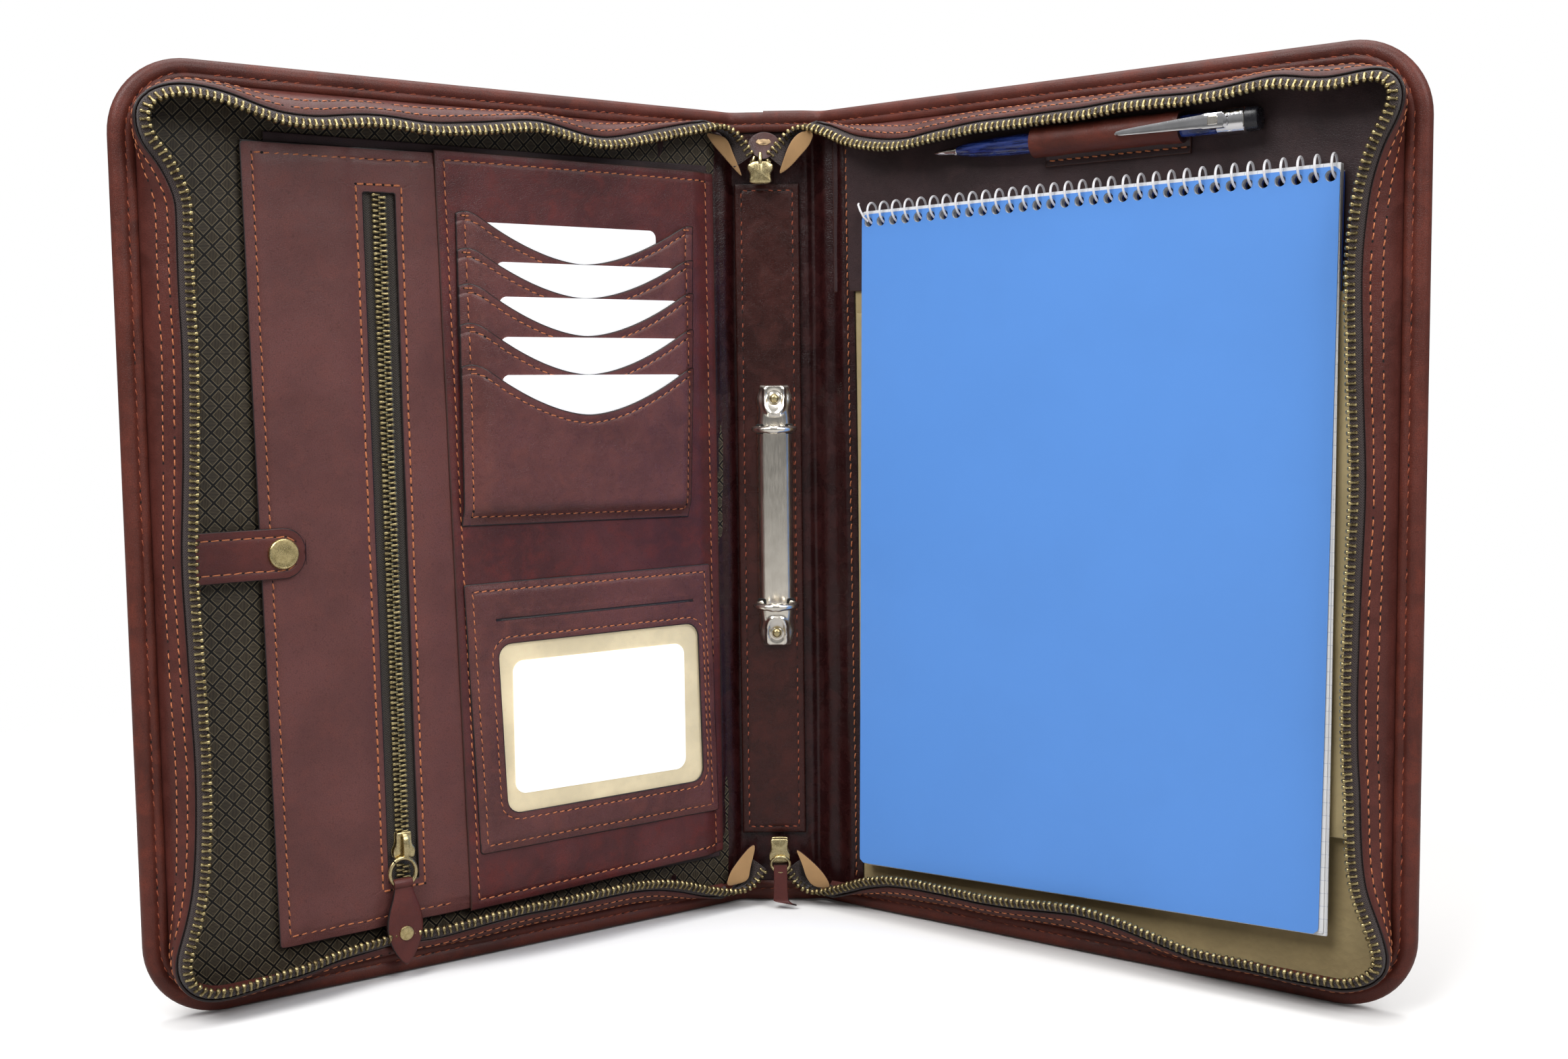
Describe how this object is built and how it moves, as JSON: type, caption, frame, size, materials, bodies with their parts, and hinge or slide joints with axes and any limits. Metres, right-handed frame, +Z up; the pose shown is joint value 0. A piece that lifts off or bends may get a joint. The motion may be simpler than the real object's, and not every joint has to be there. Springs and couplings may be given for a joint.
{
  "type": "portfolio case",
  "caption": "Zip-around leather portfolio case standing open, with a ring mechanism on the spine, a hinged organizer page, card pockets, a pen loop and a spiral pad.",
  "frame": {"origin": "middle of the spine's foot, on the surface the case stands on", "axes": "+X to the right along the spine's width, +Y to the back, away from the opening, +Z up along the spine"},
  "size_m": [0.4843, 0.1632, 0.364],
  "materials": {
    "leather": "semi-gloss red-brown leather",
    "leather_lining": "dark red-brown leather",
    "leather_flesh": "matt beige flesh side",
    "jacquard": "dark brown woven diamond pattern",
    "zip_tape": "dark brown herringbone tape",
    "antique_brass": "antique brass",
    "nickel": "polished nickel",
    "paper": "white paper",
    "card": "white card",
    "film": "clear film",
    "pad_blue": "blue laminated card",
    "wire": "white-coated wire",
    "pen_blue": "translucent dark blue",
    "chrome": "polished chrome"
  },
  "bodies": {
    "spine": {"spine_shell": "leather", "spine_lining": "leather_lining", "spine_patch": "leather_lining", "spine_binding": "leather", "ring_housing": "nickel", "ring_rivets": "nickel", "case_sliders": "antique_brass", "zip_ends": "zip_tape", "end_flaps": "leather_flesh"},
    "top_pull": {"top_tab": "leather", "top_tab_rivet": "antique_brass"},
    "bottom_pull": {"bottom_tab": "leather", "bottom_tab_ring": "antique_brass"},
    "ring_left": {"ring_halves_left": "nickel"},
    "ring_right": {"ring_halves_right": "nickel"},
    "left_cover": {"left_shell": "leather", "left_lining": "jacquard", "left_binding": "leather", "left_gusset": "leather", "left_zip_tape": "zip_tape", "left_zip_teeth": "antique_brass", "left_pocket": "leather_lining", "strap_root": "leather"},
    "right_cover": {"right_shell": "leather", "right_lining": "leather_flesh", "right_binding": "leather", "right_gusset": "leather", "right_zip_tape": "zip_tape", "right_zip_teeth": "antique_brass", "right_top_panel": "leather_lining", "pad_band": "leather_flesh", "pen_loop": "leather", "pad_back": "pad_blue", "pad_pages": "paper", "pad_coil": "wire"},
    "organizer": {"organizer_back": "leather_lining", "zip_panel": "leather", "pocket_zip_tape": "zip_tape", "pocket_zip_teeth": "antique_brass", "card_panel": "leather", "card_pockets": "leather", "card_pocket_front": "leather", "id_backing": "leather_flesh", "id_window": "film", "id_pocket": "leather"},
    "pocket_slider": {"pocket_slider": "antique_brass"},
    "pull_ring": {"pull_ring": "antique_brass"},
    "pull_tab": {"pull_tab": "leather", "pull_tab_rivet": "antique_brass"},
    "strap": {"strap": "leather", "strap_stud": "antique_brass"},
    "card_1": {"card_1": "card"},
    "card_2": {"card_2": "card"},
    "card_3": {"card_3": "card"},
    "card_4": {"card_4": "card"},
    "card_5": {"card_5": "card"},
    "id_card": {"id_card": "card"},
    "pen": {"pen_barrel": "pen_blue", "pen_metal": "chrome"},
    "pad_cover": {"pad_cover": "pad_blue"}
  },
  "joints": [
    {"name": "left_cover_hinge", "type": "hinge", "parent": "spine", "child": "left_cover", "pos_m": [-0.02, 0, 0.182], "axis": [0, 0, -1], "range_deg": [-54.6, 35.4]},
    {"name": "right_cover_hinge", "type": "hinge", "parent": "spine", "child": "right_cover", "pos_m": [0.02, 0, 0.182], "axis": [0, 0, 1], "range_deg": [-54.8, 35.2]},
    {"name": "organizer_hinge", "type": "hinge", "parent": "left_cover", "child": "organizer", "pos_m": [-0.02967, -0.01056, 0.18], "axis": [0, 0, 1], "range_deg": [0, 80]},
    {"name": "strap_hinge", "type": "hinge", "parent": "left_cover", "child": "strap", "pos_m": [-0.21431, -0.14606, 0.177], "axis": [0, 0, -1], "range_deg": [0, 90]},
    {"name": "ring_left_hinge", "type": "hinge", "parent": "spine", "child": "ring_left", "pos_m": [-0.0015, -0.0045, 0.1808], "axis": [0, 0, -1], "range_deg": [0, 20]},
    {"name": "ring_right_hinge", "type": "hinge", "parent": "spine", "child": "ring_right", "pos_m": [-0.0015, -0.0045, 0.1808], "axis": [0, 0, 1], "range_deg": [0, 20]},
    {"name": "pocket_zip_slide", "type": "slide", "parent": "organizer", "child": "pocket_slider", "axis": [0, 0, 1], "range_m": [0, 0.254]},
    {"name": "pull_ring_hinge", "type": "hinge", "parent": "pocket_slider", "child": "pull_ring", "pos_m": [-0.15394, -0.10586, 0.049], "axis": [-0.8151, -0.5793, 0], "range_deg": [0, 110]},
    {"name": "pull_tab_hinge", "type": "hinge", "parent": "pull_ring", "child": "pull_tab", "pos_m": [-0.15394, -0.10586, 0.037], "axis": [-0.8151, -0.5793, 0], "range_deg": [0, 50]},
    {"name": "top_pull_hinge", "type": "hinge", "parent": "spine", "child": "top_pull", "pos_m": [-0.005, -0.0063, 0.3462], "axis": [1, 0, 0], "range_deg": [0, 60]},
    {"name": "bottom_pull_hinge", "type": "hinge", "parent": "spine", "child": "bottom_pull", "pos_m": [-0.002, -0.0145, 0.024], "axis": [-1, 0, 0], "range_deg": [0, 80]},
    {"name": "pad_cover_hinge", "type": "hinge", "parent": "right_cover", "child": "pad_cover", "pos_m": [0.1239, -0.08345, 0.3164], "axis": [-0.8171, 0.5764, 0], "range_deg": [0, 90]},
    {"name": "pen_slide", "type": "slide", "parent": "right_cover", "child": "pen", "axis": [0.8171, -0.5764, 0], "range_m": [0, 0.03]},
    {"name": "card_1_slide", "type": "slide", "parent": "organizer", "child": "card_1", "axis": [0, 0, 1], "range_m": [0, 0.025]},
    {"name": "card_2_slide", "type": "slide", "parent": "organizer", "child": "card_2", "axis": [0, 0, 1], "range_m": [0, 0.025]},
    {"name": "card_3_slide", "type": "slide", "parent": "organizer", "child": "card_3", "axis": [0, 0, 1], "range_m": [0, 0.025]},
    {"name": "card_4_slide", "type": "slide", "parent": "organizer", "child": "card_4", "axis": [0, 0, 1], "range_m": [0, 0.025]},
    {"name": "card_5_slide", "type": "slide", "parent": "organizer", "child": "card_5", "axis": [0, 0, 1], "range_m": [0, 0.025]},
    {"name": "id_card_slide", "type": "slide", "parent": "organizer", "child": "id_card", "axis": [0, 0, 1], "range_m": [0, 0.018]}
  ],
  "couplings": [
    {"joint": "ring_right_hinge", "follows": "ring_left_hinge", "ratio": 1},
    {"joint": "strap_hinge", "follows": "organizer_hinge", "ratio": 1.125}
  ]
}
